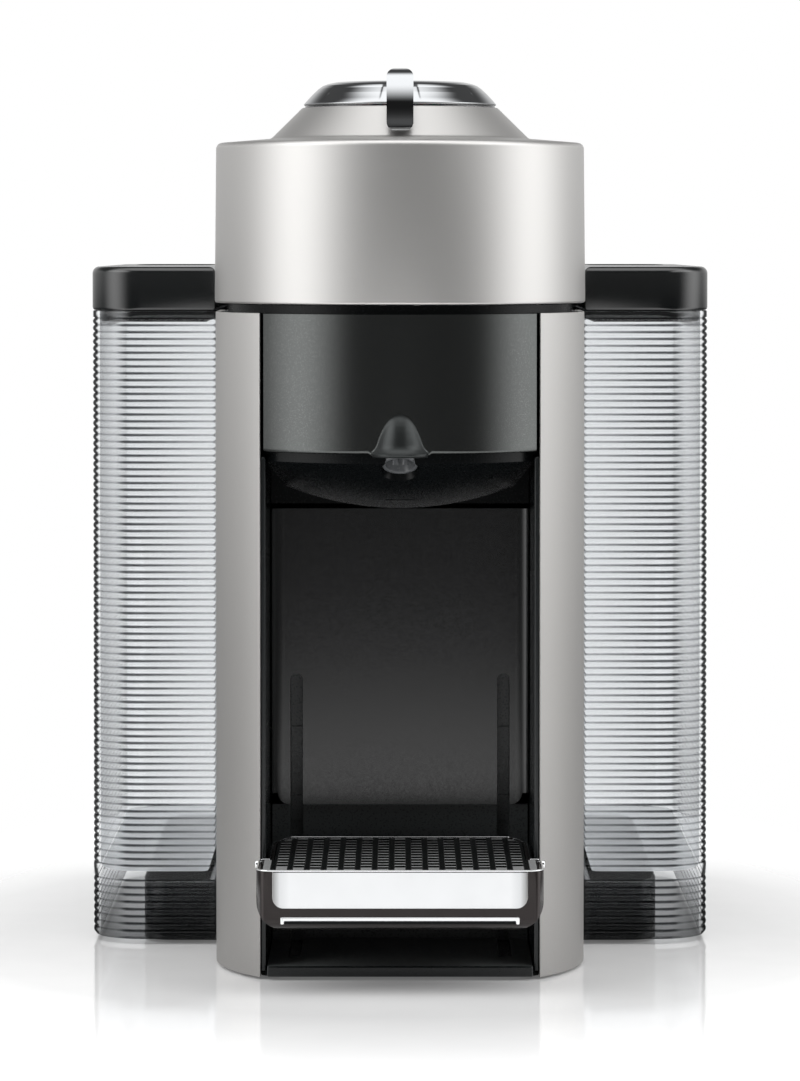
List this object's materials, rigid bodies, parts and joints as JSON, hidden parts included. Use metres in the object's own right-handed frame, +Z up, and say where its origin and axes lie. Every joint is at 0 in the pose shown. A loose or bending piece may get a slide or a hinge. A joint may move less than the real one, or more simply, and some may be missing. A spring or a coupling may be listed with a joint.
{
  "type": "pod coffee machine",
  "caption": "Pod coffee machine with a round tilting head, a cup bay with adjustable drip tray, a pull-out capsule bin and a ribbed wrap-around water tank.",
  "frame": {"origin": "middle of the bounding box on the table plane", "axes": "+X to the right, +Y to the rear, +Z up; the front with the cup bay faces -Y"},
  "size_m": [0.214, 0.3, 0.3],
  "materials": {
    "silver_shell": "satin",
    "bright_chrome": "polished",
    "charcoal_panel": "satin",
    "black_plastic": "matte",
    "gloss_black": "gloss",
    "grey_plastic": "satin",
    "clear_plastic": "ribbed clear",
    "light_diffuser": "milky",
    "steel": "bright",
    "cast_aluminium": "matte",
    "brass": "bright",
    "rubber": "matte",
    "silicone": "matte",
    "hose": "milky",
    "green_board": "satin",
    "pump_case": "satin"
  },
  "bodies": {
    "housing": {"base_pan": "black_plastic", "rubber_feet": "rubber", "left_column": "silver_shell", "right_column": "silver_shell", "left_liner": "black_plastic", "right_liner": "black_plastic", "left_side_panel": "black_plastic", "right_side_panel": "black_plastic", "rear_cover": "black_plastic", "rear_deck": "black_plastic", "bulkhead": "black_plastic", "brew_deck": "black_plastic", "brew_bowl": "black_plastic", "front_panel": "charcoal_panel", "coffee_nozzle": "grey_plastic", "flow_straightener": "grey_plastic", "collector_ring": "black_plastic", "holder_bearing": "steel", "ejection_chute": "black_plastic", "hinge_bracket": "black_plastic", "hinge_pin": "steel", "hinge_damper": "black_plastic", "water_swivel": "brass", "tank_dock": "grey_plastic", "dock_seal": "silicone", "cord_gland": "rubber", "water_pump": "pump_case", "flow_meter": "pump_case", "thermoblock": "cast_aluminium", "control_board": "green_board", "inlet_hose": "hose", "pump_hose": "hose", "hot_water_pipe": "brass", "head_switch": "black_plastic", "latch_keeper": "steel"},
    "holder": {"capsule_holder": "cast_aluminium"},
    "head": {"head_cover": "silver_shell", "head_base_plate": "black_plastic", "head_knuckle": "black_plastic", "spin_motor": "cast_aluminium", "motor_bracket": "cast_aluminium", "rotor_bearing": "steel", "head_water_tube": "hose", "top_plate": "gloss_black", "button_board": "green_board", "light_ring": "light_diffuser", "lever_pins": "steel"},
    "injector": {"injector_rotor": "grey_plastic", "injector_seal": "silicone"},
    "lever": {"lever": "bright_chrome"},
    "button": {"brew_button": "bright_chrome"},
    "latch": {"latch_hook": "steel"},
    "tank": {"water_tank": "clear_plastic", "valve_spring": "steel"},
    "valve": {"tank_valve": "grey_plastic"},
    "lid": {"tank_lid": "charcoal_panel"},
    "container": {"recess_back": "black_plastic", "capsule_bin": "black_plastic"},
    "tray": {"drip_tray": "bright_chrome"},
    "grid": {"drip_grid": "black_plastic"}
  },
  "joints": [
    {"name": "head_open", "type": "hinge", "parent": "housing", "child": "head", "pos_m": [0, -0.007, 0.228], "axis": [-1, 0, 0], "range_deg": [0, 80]},
    {"name": "holder_spin", "type": "hinge", "parent": "housing", "child": "holder", "pos_m": [0, -0.091, 0.1755], "axis": [0, 0, 1], "continuous": true},
    {"name": "injector_spin", "type": "hinge", "parent": "head", "child": "injector", "pos_m": [0, -0.091, 0.2335], "axis": [0, 0, 1], "continuous": true},
    {"name": "lever_lift", "type": "hinge", "parent": "head", "child": "lever", "pos_m": [0, -0.061, 0.2914], "axis": [-1, 0, 0], "range_deg": [0, 45]},
    {"name": "latch_release", "type": "hinge", "parent": "head", "child": "latch", "pos_m": [0, -0.1265, 0.24], "axis": [1, 0, 0], "range_deg": [0, 9]},
    {"name": "button_press", "type": "slide", "parent": "head", "child": "button", "axis": [0, 0, -1], "range_m": [0, 0.0012], "stiffness_N_per_m": 600},
    {"name": "tank_lift", "type": "slide", "parent": "housing", "child": "tank", "axis": [0, 0, 1], "range_m": [0, 0.24]},
    {"name": "valve_push", "type": "slide", "parent": "tank", "child": "valve", "axis": [0, 0, 1], "range_m": [0, 0.003], "stiffness_N_per_m": 300, "deforming": ["valve_spring"]},
    {"name": "lid_lift", "type": "slide", "parent": "tank", "child": "lid", "axis": [0, 0, 1], "range_m": [0, 0.06]},
    {"name": "container_pull", "type": "slide", "parent": "housing", "child": "container", "axis": [0, -1, 0], "range_m": [0, 0.16]},
    {"name": "tray_height", "type": "slide", "parent": "container", "child": "tray", "axis": [0, 0, 1], "range_m": [0, 0.047]},
    {"name": "grid_lift", "type": "slide", "parent": "tray", "child": "grid", "axis": [0, 0, 1], "range_m": [0, 0.03]}
  ],
  "couplings": [
    {"joint": "injector_spin", "follows": "holder_spin", "ratio": 1},
    {"joint": "latch_release", "follows": "lever_lift", "ratio": 0.2}
  ]
}
